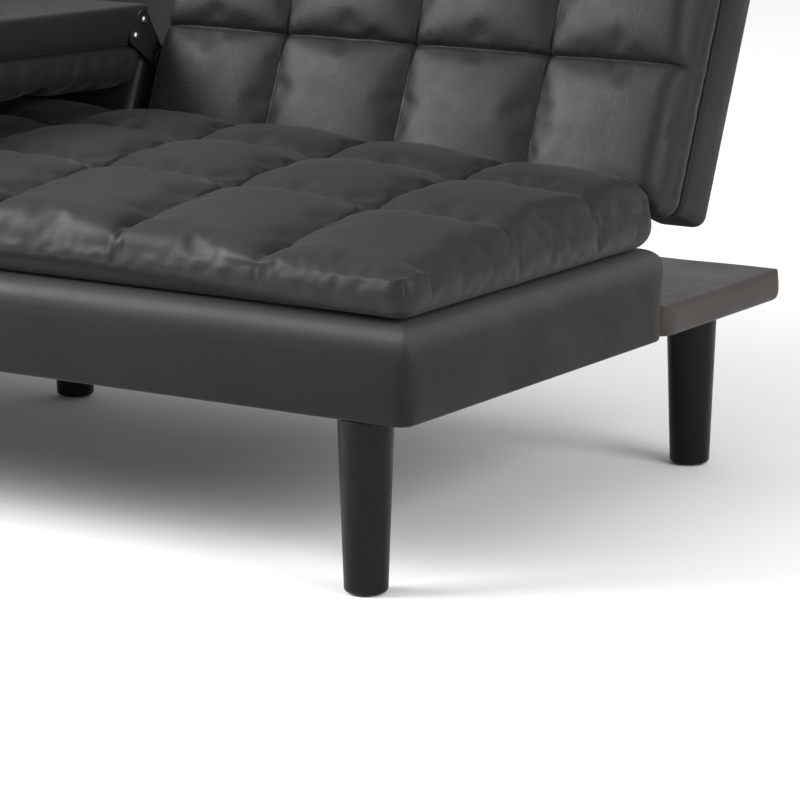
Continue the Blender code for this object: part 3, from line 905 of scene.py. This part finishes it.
def make_base_cover():
    """Padded leather round the four rails, rolled over their top edge, with corners that tighten upwards."""
    low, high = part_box("base_front_rail")
    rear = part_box("base_rear_rail")[1]
    bottom, top, thick, roll = low.z, high.z, high.y - low.y, 0.024
    corners = [(low.x, low.y), (high.x, low.y), (high.x, rear.y), (low.x, rear.y)]
    section = rounded(0.004, bottom + 0.004, 0.004, -90, 0, 0.0, 3)
    for h in np.linspace(0.012, 0.076, 9):
        section.append((0.0, bottom + h, 0.0032 * math.sin(math.pi * h / 0.09)))
    section += rounded(roll, top - roll, roll, 0, 90, 0.0012, 8)
    section += [(thick - 0.012, top, 0.0)]
    section += rounded(thick - 0.003, top - 0.003, 0.003, 90, 180, 0.0, 3)
    section += [(thick, bottom + 0.05, 0.0), (thick, bottom, 0.0), (0.02, bottom, 0.0)]

    def corner(level):
        return 0.016 - 0.010 * float(smoothstep((level - bottom - 0.03) / 0.06))

    cover = sweep("base_cover", corners, section, corner, WORLD, uneven=0.0007, seed=5)
    subdivide(cover)
    nodes = ["base_front_rail", "base_rear_rail", "base_side_rail_left", "base_side_rail_right"]
    return dress(cover, "base", BASE_LEATHER_PAINTED_LIGHT, "faux_leather", *nodes)


def make_rear_deck():
    low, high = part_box("rear_deck_board")
    gap = 0.003  # behind the base's rear rail
    y0 = low.y + gap
    shape = Cushion((high.x - low.x, high.y - y0), [], [], 0.022)
    thick = high.z - low.z

    def height(x, y):
        width, depth = high.x - low.x, high.y - y0
        roll = rolled(*borders(x, y, width, depth, 0.009))
        place = np.stack([x, y, 0 * x], -1).reshape(-1, 3)
        wave = 0.0005 * ripple(place, 0.16, 11).reshape(x.shape)
        return thick - 0.008 + (0.008 + wave) * roll

    bands = [
        (-0.0006, thick - 0.0110), (-0.0012, thick - 0.0160), (-0.0012, thick - 0.0220), (-0.0006, 0.0070),
        (0.0010, 0.0035), (0.0040, 0.0010), (0.0090, 0.0),
    ]
    deck = shape.build("rear_deck_cover", Matrix.Translation((low.x, y0, low.z)), height, bands)
    subdivide(deck)
    close(deck)
    return dress(deck, "base", LEATHER_DECK, "faux_leather", "rear_deck_board")


def bar_section(low, high, thick, front_radius, rear_radius, puff):
    """The section of a wrapped frame member: level is the depth through the back."""
    section = rounded(front_radius, low + front_radius, front_radius, -90, 0, 0.0, 4)
    inner = np.linspace(low + front_radius, high - rear_radius, 7)[1:-1]
    span_length = high - low
    section += [(0.0, y, puff * math.sin(math.pi * (y - low) / span_length)) for y in inner]
    section += rounded(rear_radius, high - rear_radius, rear_radius, 0, 90, 0.0, 6)
    section += rounded(thick - 0.004, high - 0.004, 0.004, 90, 180, 0.0, 3)
    section += rounded(thick - 0.004, low + 0.004, 0.004, 180, 270, 0.0, 3)
    return section


def back_plane():
    """x, up the back, then depth through it."""
    return BACK @ Matrix(((1, 0, 0, 0), (0, 0, 1, 0), (0, 1, 0, 0), (0, 0, 0, 1)))


def make_back_wraps():
    """One run of leather round each half of the back's frame, from the hinge slot to the recess."""
    plane = back_plane()
    for side, sign in (("left", -1), ("right", 1)):
        end_low, end_high = local_box("back_bottom_end_" + side, BACK)
        top = local_box("back_top_rail_" + side, BACK)[1][2]
        stile_low, stile_high = local_box("back_recess_stile_" + side, BACK)
        slot = min(abs(end_low[0]), abs(end_high[0]))
        outer = max(abs(end_low[0]), abs(end_high[0]))
        recess = min(abs(stile_low[0]), abs(stile_high[0]))
        member = abs(stile_high[0] - stile_low[0])
        path = [(slot, end_low[2]), (outer, end_low[2]), (outer, top), (recess, top), (recess, stile_low[2])]
        if sign < 0:
            path = [(-x, z) for x, z in reversed(path)]
        section = bar_section(end_low[1], end_high[1], member, 0.006, 0.014, 0.0014)
        wrap = sweep("back_wrap_" + side, path, section, 0.014, plane, closed=False, uneven=0.0003, seed=21)
        subdivide(wrap)
        nodes = [f"back_{part}_{side}" for part in ("bottom_end", "top_rail", "end_stile", "recess_stile")]
        dress(wrap, "backrest", SHADED_RAIL_LEATHER, "faux_leather", *nodes)


def make_wrapped_bar(name, node):
    """A member wrapped in leather: a bar with rounded edges."""
    low, high = local_box(node, BACK)
    size = high - low
    axes = back_plane() @ Matrix.Translation((low[0], low[2], low[1]))
    shape = Cushion((size[0], size[2]), [], [], 0.006, 0.008)
    thick = size[1]

    def height(x, y):
        roll = rolled(*borders(x, y, size[0], size[2], 0.006))
        return thick - 0.006 + 0.006 * roll

    bands = [(0.0, thick * share) for share in (0.7, 0.5, 0.3)]
    bands += [(0.0, 0.004), (0.001, 0.002), (0.004, 0.0)]
    bar = shape.build(name, axes, height, bands)
    close(bar)
    return dress(bar, "backrest", SHADED_RAIL_LEATHER, "faux_leather", node)


def make_rear_panel():
    """The cover across the back of the frame, drawn in a little between its members."""
    low, high = local_box("back_rear_panel", BACK)
    inset = 0.006
    width, length = high[0] - low[0] - 2 * inset, high[2] - low[2] - 2 * inset
    thick = high[1] - low[1]
    shape = Cushion((width, length), [], [], 0.012, 0.011)

    def height(x, y):
        roll = rolled(*borders(x, y, width, length, 0.008))
        place = np.stack([x, y, 0 * x], -1).reshape(-1, 3)
        wave = 0.0007 * ripple(place, 0.21, 31).reshape(x.shape)
        slack = 0.0016 * np.clip(np.minimum(x, width - x) / 0.12, 0, 1)
        slack = slack * np.clip(np.minimum(y, length - y) / 0.12, 0, 1)
        return 0.0008 + (thick - 0.0008 + wave - slack) * roll

    axes = back_plane() @ Matrix.Translation((low[0] + inset, low[2] + inset, low[1]))
    panel = shape.build("back_panel_cover", axes, height, [(0.0004, 0.0004), (0.003, 0.0)])
    slots = []
    for sign in (-1, 1):
        x = sorted((sign * 0.786, sign * 0.814))
        slots.append(block("slot", (x[0], 0.06, -0.06), (x[1], 0.11, 0.030), BACK))
    subdivide(panel)
    close(panel)
    cut(panel, slots)
    return dress(panel, "backrest", LEATHER_PANEL, "faux_leather", "back_rear_panel")


# ---- legs ----
def make_legs():
    """Turned tapered legs with an eased foot and a nylon glide."""
    for spot in ("front_left", "front_right", "rear_left", "rear_right", "rear_centre"):
        low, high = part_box("leg_" + spot)
        x, y = (low.x + high.x) / 2, (low.y + high.y) / 2
        top, wide = high.z, (high.x - low.x) / 2
        narrow = 0.0225
        profile = [(0.0, 0.0016), (narrow - 0.0048, 0.0016)]
        for turn in np.radians(np.linspace(-90, 8, 7)):
            profile.append((narrow - 0.0048 + 0.0048 * math.cos(turn), 0.0064 + 0.0048 * math.sin(turn)))
        for share in np.linspace(0.06, 0.97, 12):
            level = 0.008 + share * (top - 0.008)
            profile.append((narrow + (wide - narrow) * share, level))
        profile += [(wide, top - 0.003), (wide - 0.0008, top - 0.0004), (0.0, top - 0.0004)]
        place = Matrix.Translation((x, y, 0))
        leg = lathe("turned_leg_" + spot, profile, place, 72)
        leg.data.set_sharp_from_angle(angle=math.radians(50))
        dress(leg, "base", BLACK_LEG, "black_leg", "leg_" + spot)
        glide = [(0.0, 0.0), (0.0120, 0.0), (0.0136, 0.0004), (0.0140, 0.0013)]
        glide += [(0.0140, 0.0015), (0.0, 0.0015)]
        dress(lathe("glide_" + spot, glide, place, 48), "base", BLACK_PLASTIC, "black_plastic")


# ---- materials on what the CAD model makes itself ----
def finish_cad_nodes():
    finishes = (
        (("hinge_", "console_bolt", "console_pivot_pin"), STEEL),
        (("console_arm", "console_pivot_plate"), BLACK_STEEL),
        (("corner_block",), WOOD_UP), (("base_centre_beam",), WOOD_BEAM), (("seat_deck",), BONDED),
        (("back_mid_stile",), WOOD_UP), (("base_dust_cover",), BONDED),
    )
    for name, node in frame["nodes"].items():
        for starts, finish in finishes:
            if name.startswith(starts):
                node.data.materials.clear()
                node.data.materials.append(finish)
                node.data.set_sharp_from_angle(angle=math.radians(35))


# ---- camera, floor and light ----
def make_camera():
    """The photograph's camera, fitted to its straight edges and tuft crossings."""
    down, turned = 12.366, 32.547  # degrees below level, and round from the front
    data = bpy.data.cameras.new("camera")
    data.lens, data.sensor_width = 180.4, 36.0
    data.clip_end = 100.0
    camera = bpy.data.objects.new("camera", data)
    camera.location = (2.9087, -3.6125, 1.0430)
    camera.rotation_euler = (math.radians(90 - down), 0.0, math.radians(turned))
    bpy.context.scene.collection.objects.link(camera)
    bpy.context.scene.camera = camera


def area_light(name, place, aim, size, power):
    data = bpy.data.lights.new(name, "AREA")
    data.shape = "RECTANGLE"
    data.size, data.size_y = size
    data.energy = power
    light = bpy.data.objects.new(name, data)
    light.location = place
    light.rotation_euler = (Vector(aim) - Vector(place)).to_track_quat("-Z", "Y").to_euler()
    bpy.context.scene.collection.objects.link(light)


def make_stage():
    reach = 25.0
    corners = [(-reach, -reach, 0), (reach, -reach, 0), (reach, reach, 0), (-reach, reach, 0)]
    floor = piece("floor", corners, [(0, 1, 2, 3)], outwards=False)
    n = Nodes("pale_floor")
    tone = n.ramp(n.noise(0.6), (0.3, 0.90), (0.7, 0.92))
    n.link(tone, n.shader.inputs["Base Color"])
    n.shader.inputs["Roughness"].default_value = 0.9
    floor.data.materials.append(n.material)
    world = bpy.data.worlds.new("studio")
    world.use_nodes = True
    sky = world.node_tree.nodes["Background"]
    sky.inputs["Color"].default_value = (1.0, 0.99, 0.985, 1.0)
    sky.inputs["Strength"].default_value = 0.78
    bpy.context.scene.world = world
    area_light("key", place=(-3.0, -2.6, 2.9), aim=(0.2, 0.0, 0.35), size=(3.0, 2.2), power=345.0)
    area_light("fill", place=(4.4, -0.6, 2.2), aim=(0.5, 0.0, 0.35), size=(2.4, 1.6), power=100.0)
    area_light("top", place=(-0.6, -0.6, 3.4), aim=(0.0, 0.0, 0.3), size=(3.0, 2.0), power=20.0)
    bpy.context.scene.view_settings.view_transform = "Standard"


make_camera()
make_stage()
LEATHER_CUSHION = faux_leather("cushion_leather", LEATHER, (0.42, 0.55), wear=0.25)
# rail leather: the cushion leather at 0.85 of its tone, the darkening being painted shade
SHADED_RAIL_LEATHER = faux_leather("rail_leather_shaded", shade(LEATHER, 0.85), (0.42, 0.56), 0.14)
# base leather: the same painted shade, with a painted highlight along its top edge and painted shade lower
# down
BASE_LEATHER_PAINTED_LIGHT = faux_leather(
    "base_leather_painted_light", shade(LEATHER, 0.85), (0.42, 0.56), 0.14, lit_edge_top=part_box("base_front_rail")[1].z
)
# console leather: the cushion leather at 1.4 times its tone, the lightening being painted light
LIT_CONSOLE_LEATHER = faux_leather("console_leather_lit", shade(LEATHER, 1.4), (0.38, 0.52))
LEATHER_PANEL = faux_leather("panel_leather", shade(LEATHER, 0.85), (0.44, 0.58))
LEATHER_DECK = faux_leather("deck_leather", DECK_LEATHER, (0.44, 0.60))
BLACK_LEG = painted_wood("satin_black")
BLACK_PLASTIC = black_plastic("moulded_black")
STEEL = zinc_steel("zinc_plate")
BLACK_STEEL = black_plastic("blackened_steel")
WOOD_UP = bare_wood("softwood_block", (8.0, 8.0, 1.0))
WOOD_BEAM = bare_wood("softwood_beam", (8.0, 1.0, 8.0))
BONDED = bonded_cloth("bonded_cloth")

make_seat()
for hand in ("left", "right"):
    make_back_cushion(hand)
    make_cup(hand)
make_centre_pad()
make_console_cushion()
make_console_box()
make_base_cover()
make_rear_deck()
make_back_wraps()
make_wrapped_bar("back_bottom_wrap", "back_bottom_rail")
make_wrapped_bar("back_recess_wrap", "back_recess_rail")
make_wrapped_bar("back_cross_wrap", "back_top_cross_rail")
make_rear_panel()
make_legs()
finish_cad_nodes()
